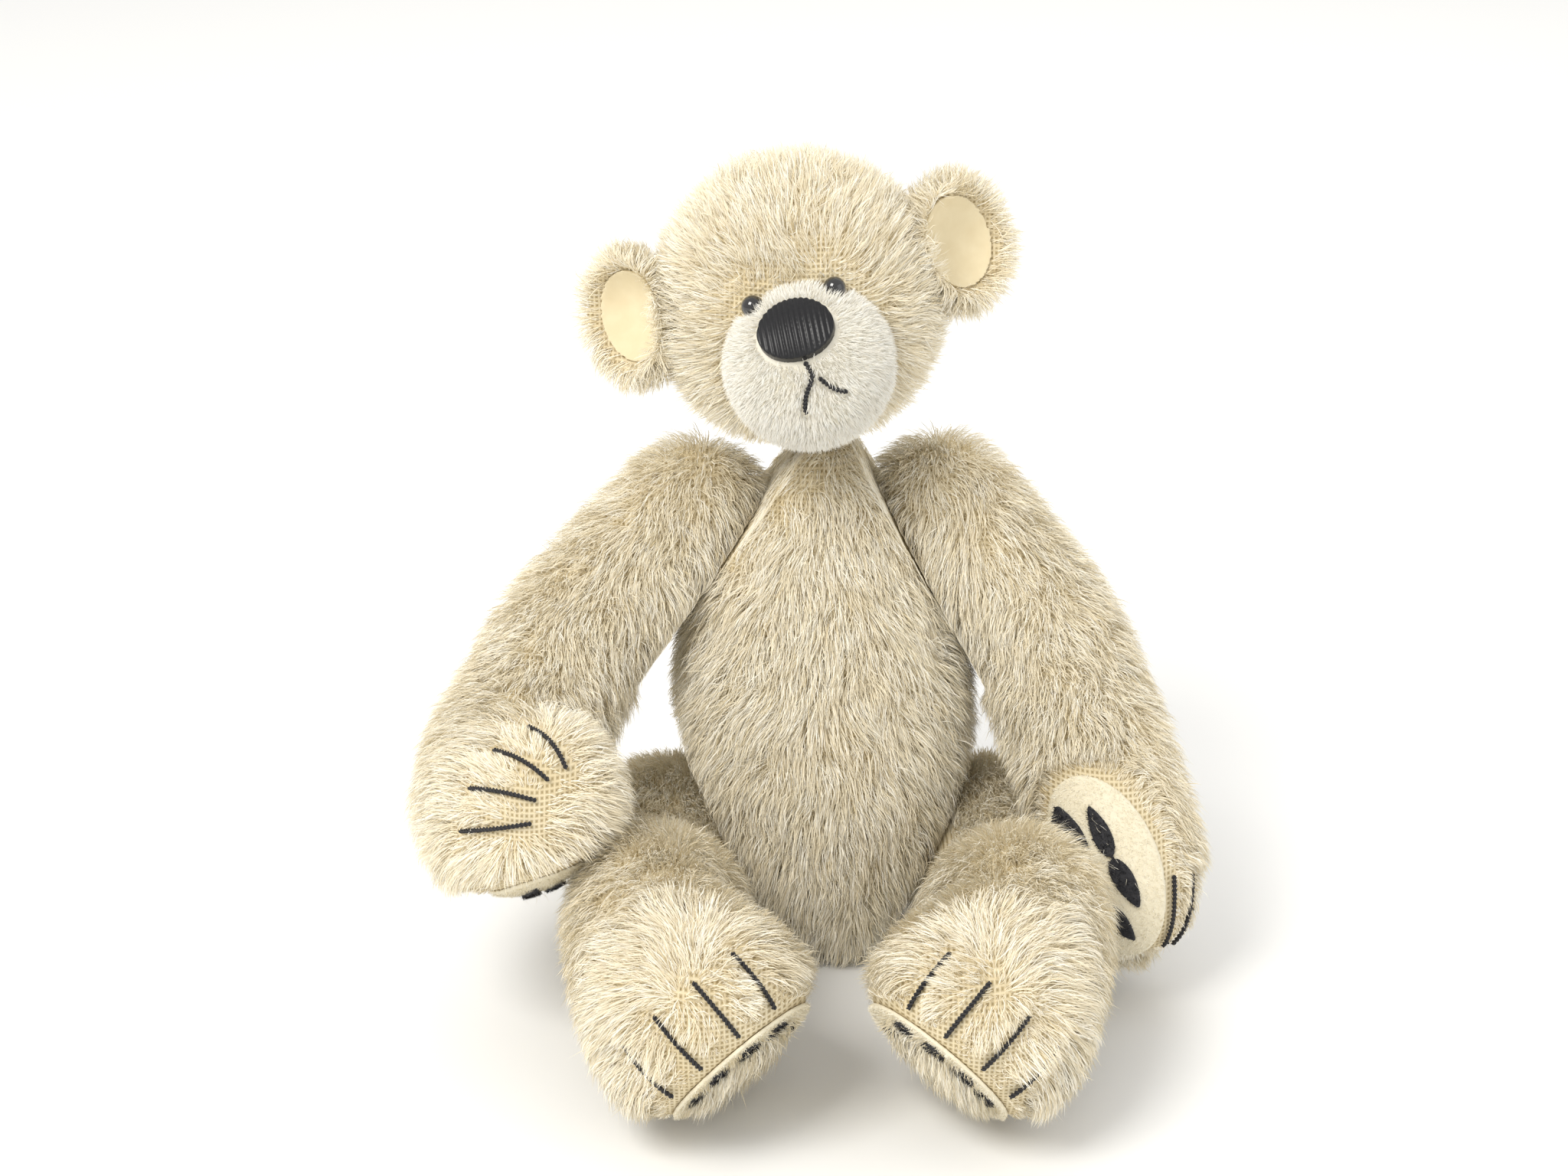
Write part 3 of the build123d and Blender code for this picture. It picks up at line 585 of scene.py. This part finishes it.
# ---- limbs ----------------------------------------------------------------------------------
crowns = {
    ("arm", "right"): np.array([-41, -45, 34]) * mm,
    ("leg", "right"): np.array([-19.5, -69, 25]) * mm,
    ("leg", "left"): np.array([19.5, -69, 25]) * mm,
}
runs = {"arm": np.array([0.18, -0.35, -1.0]), "leg": np.array([0.25, -0.9, -0.25])}
for (limb, side), (place, outward) in limb_joints.items():
    body = f"{limb}_{side}"
    sign = sides[side]
    piece, vertices, quads = skin(f"{body}_cloth", body, [f"{body}_skin", f"{body}_stuffing"])
    roots, normals = scatter(vertices, quads, pile)
    under = [f"{body}_palm"] if limb == "arm" else [f"{body}_sole"]
    bare = pressed_flat(roots, normals, [(place, outward)], 1)
    to_suede = gap_to(roots, under, 6 * mm)
    to_claw = gap_to(roots, [f"{body}_claws"], 3.2 * mm)
    keep = ~bare & (to_suede > 0.75 * mm) & (to_claw > 1.05 * mm) & patchy(roots)
    roots, normals, to_suede, to_claw = roots[keep], normals[keep], to_suede[keep], to_claw[keep]
    run = np.tile(runs[limb] * [sign, 1, 1], (len(roots), 1))
    crown = crowns.get((limb, side))
    if crown is not None:
        away = roots - crown
        distance = np.linalg.norm(away, axis=1)
        share = 0.6 * (1 - smoothstep(12 * mm, 24 * mm, distance))[:, None]
        run = unit(run) * (1 - share) + unit(away) * share
    share = (1 - smoothstep(1.0 * mm, 5.0 * mm, to_suede))[:, None]
    run = unit(run) * (1 - share) + unit(roots - centre_of(under[0])) * share
    edge = 0.3 + 0.7 * smoothstep(0.8 * mm, 5.5 * mm, to_suede)
    edge = edge * (0.3 + 0.7 * smoothstep(1.0 * mm, 3.0 * mm, to_claw))
    grow(f"{body}_fur", body, mohair, roots, normals, tangent(run, normals),
         4.4 * mm * edge, hair, press_limb(limb, side), lean=0.78)


def oriented_parts(name):
    """Vertices of each separate solid of a CAD node."""
    vertices, triangles = node_arrays([name])
    unused, first, merged = np.unique(np.round(vertices, 7), axis=0,
                                      return_index=True, return_inverse=True)
    merged = merged.ravel()
    places = vertices[first]
    label = shells(len(places), merged[triangles])
    return [places[label == value] for value in np.unique(label)]


def own_axes(points):
    """Middle of some points and their three directions, the longest first."""
    middle = points.mean(axis=0)
    unused, directions = np.linalg.eigh(np.cov((points - middle).T))
    return middle, directions.T[::-1]


def fuzz(name, body, materials, vertices, quads, outward,
         per_square_mm, length, width, press):
    """Fine nap on the outer face of a piece of suede."""
    roots, normals = scatter(vertices, quads, per_square_mm)
    facing = normals @ outward > 0.3
    roots, normals = roots[facing], normals[facing]
    swirl = np.cross(normals, [0.3, 0.2, 1.0]) + rng.normal(0, 0.8, roots.shape)
    grow(name, body, materials, roots, normals, tangent(swirl, normals), length, width, press,
         lean=0.9, steps=2, patch=0.5 * mm, gather=0.25)


# ---- suede ----------------------------------------------------------------------------------
def leaf(vertices, quads):
    """Draw each pad's ends to points, like a leaf."""
    label = shells(len(vertices), quads)
    for value in np.unique(label):
        chosen = label == value
        if chosen.sum() < 60:
            continue
        middle, axes = own_axes(vertices[chosen])
        local = (vertices[chosen] - middle) @ axes.T
        reach = np.abs(local[:, 0]) / np.abs(local[:, 0]).max()
        local[:, 1] *= 1.04 - 0.55 * reach ** 2.2
        local[:, 0] *= 1.1
        vertices[chosen] = middle + local @ axes
    return vertices


for limb in ("arm", "leg"):
    for side in sides:
        body = f"{limb}_{side}"
        press = press_limb(limb, side)
        base = f"{body}_palm" if limb == "arm" else f"{body}_sole"
        flat, flat_quads = remeshed([base], 0.22 * mm, 3)
        outward = unit(centre_of(base) - centre_of(f"{body}_stuffing"))
        middle, axes = own_axes(flat)
        outward = axes[2] * np.sign(axes[2] @ outward)
        piece = new_object(f"{base}_suede", flat, flat_quads, [palm_cloth])
        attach(piece, body)
        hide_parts(base)
        fuzz(f"{base}_nap", body, nap, flat, flat_quads, outward,
             22, 0.55 * mm, 0.07 * mm, press)
        pads, pad_quads = remeshed([f"{body}_pads"], 0.16 * mm, 3, whole=True)
        pads = leaf(pads, pad_quads) if limb == "arm" else pads
        piece = new_object(f"{body}_pads_suede", pads, pad_quads, [pad_cloth])
        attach(piece, body)
        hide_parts(f"{body}_pads")
        fuzz(f"{body}_pads_nap", body, soot, pads, pad_quads, outward,
             34, 0.5 * mm, 0.07 * mm, press)
        fuzz(f"{body}_pads_stray", body, nap, pads, pad_quads, outward,
             0.5, 1.7 * mm, 0.045 * mm, press)


# ---- nose -----------------------------------------------------------------------------------
vertices, quads = remeshed(["nose"], 0.13 * mm, 4)
normals = vertex_normals(vertices, quads)
outward = unit(nose_middle - muzzle_middle)
sideways = (vertices - nose_middle) @ head_across
ridge = np.abs(np.cos(math.pi * sideways / (0.72 * mm))) ** 0.6
front = smoothstep(0.0, 0.5, normals @ outward)
vertices = vertices + normals * ((ridge - 0.75) * 0.2 * mm * front)[:, None]
piece = new_object("nose_stitching", vertices, quads, [floss])
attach(piece, "head")
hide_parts("nose")


# ---- threads --------------------------------------------------------------------------------
def centreline(points):
    """Line through the middle of a thread's solid."""
    start = points[np.linalg.norm(points - points.mean(axis=0), axis=1).argmax()]
    distance = np.linalg.norm(points - start, axis=1)
    bins = np.minimum((distance / distance.max() * 12).astype(int), 11)
    line = np.array([points[bins == k].mean(axis=0) for k in range(12) if (bins == k).any()])
    fine_steps = np.linspace(0, len(line) - 1, 90)
    known = np.arange(len(line))
    return np.column_stack([np.interp(fine_steps, known, line[:, k]) for k in range(3)])


def laid_on(line, cloth):
    """Thread's line, drawn down onto the cloth below it."""
    vertices, triangles = node_arrays([cloth])
    tree = BVHTree.FromPolygons(vertices.tolist(), triangles.tolist())
    places = np.array([tree.find_nearest(point)[0] for point in line.tolist()])
    return places + unit(line - places) * thread_rise


def twisted(name, body, node, cloth):
    """Two-ply threads along the CAD threads of a node."""
    all_vertices, all_quads, start = [], [], 0
    sectors = 6
    for points in oriented_parts(node):
        line = laid_on(centreline(points), cloth)
        run = unit(np.gradient(line, axis=0))
        first = unit(np.cross(run, unit(np.array([0.31, 0.52, 0.79]))))
        second = np.cross(run, first)
        travelled = np.concatenate([[0], np.cumsum(np.linalg.norm(np.diff(line, axis=0), axis=1))])
        for ply in range(2):
            turn = 2 * math.pi * travelled / twist_length + math.pi * ply
            spiral = np.cos(turn)[:, None] * first + np.sin(turn)[:, None] * second
            core = line + ply_offset * spiral
            from_end = np.minimum(np.linspace(0, 1, len(line)), np.linspace(1, 0, len(line)))
            taper = np.minimum(1, 0.35 + 40 * from_end)
            for sector in range(sectors):
                angle = 2 * math.pi * sector / sectors
                ring = math.cos(angle) * first + math.sin(angle) * second
                all_vertices.append(core + ply_radius * taper[:, None] * ring)
            index = np.arange(len(line) - 1)
            for sector in range(sectors):
                here = start + sector * len(line)
                there = start + (sector + 1) % sectors * len(line)
                corners = [here + index, there + index, there + index + 1, here + index + 1]
                all_quads.append(np.column_stack(corners))
            start += sectors * len(line)
    vertices, quads = np.concatenate(all_vertices), np.concatenate(all_quads)
    piece = new_object(name, vertices, quads, [thread_cotton])
    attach(piece, body)
    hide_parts(node)


twisted("mouth_thread", "head", "mouth_stitches", "muzzle")
for limb in ("arm", "leg"):
    for side in sides:
        body = f"{limb}_{side}"
        twisted(f"{body}_claw_thread", body, f"{body}_claws", f"{body}_skin")

# ---- hard pieces that keep their CAD shape ------------------------------------------------------
for name, node in nodes.items():
    if node.hide_render:
        continue
    finish = bead if name.startswith("eye") else board if "disc" in name else steel
    node.data.materials.clear()
    node.data.materials.append(finish)

# ---- floor, light and camera --------------------------------------------------------------------
floor_material = principled("floor", (0.93, 0.93, 0.92), 0.9, Specular_IOR_Level=0.1)[0]
corners = np.array([[-4, -4, 0], [4, -4, 0], [4, 4, 0], [-4, 4, 0]], float)
floor = new_object("floor", corners, np.array([[0, 1, 2, 3]]), [floor_material])

world = bpy.data.worlds.new("studio")
bpy.context.scene.world = world
world.use_nodes = True
background = world.node_tree.nodes["Background"]
background.inputs["Color"].default_value = (1.0, 0.99, 0.97, 1)
background.inputs["Strength"].default_value = 0.85


def soft_light(name, place, aim, size, power, colour):
    """Square area light aimed at a point."""
    data = bpy.data.lights.new(name, "AREA")
    data.size = size
    data.energy = power
    data.color = colour
    lamp = bpy.data.objects.new(name, data)
    lamp.location = place
    lamp.rotation_euler = (Vector(aim) - Vector(place)).to_track_quat("-Z", "Y").to_euler()
    bpy.context.scene.collection.objects.link(lamp)


soft_light("key", (-0.35, -0.45, 0.65), (0, 0, 0.05), 0.35, 4.2, (1.0, 0.98, 0.94))
soft_light("fill", (0.6, -0.4, 0.3), (0, 0, 0.05), 0.6, 0.8, (0.95, 0.97, 1.0))
soft_light("back", (0.1, 0.6, 0.6), (0, 0, 0.06), 0.5, 0.9, (1.0, 1.0, 1.0))

ahead = Vector((0, math.cos(camera_elevation), -math.sin(camera_elevation)))
camera_data = bpy.data.cameras.new("camera")
camera_data.lens = lens
camera_data.sensor_width = 36
camera_data.shift_y = lens_shift
camera_data.clip_start = 0.01
camera = bpy.data.objects.new("camera", camera_data)
camera.location = camera_target - ahead * camera_distance
camera.rotation_euler = ahead.to_track_quat("-Z", "Y").to_euler()
bpy.context.scene.collection.objects.link(camera)
bpy.context.scene.camera = camera
bpy.context.scene.view_settings.view_transform = "Standard"
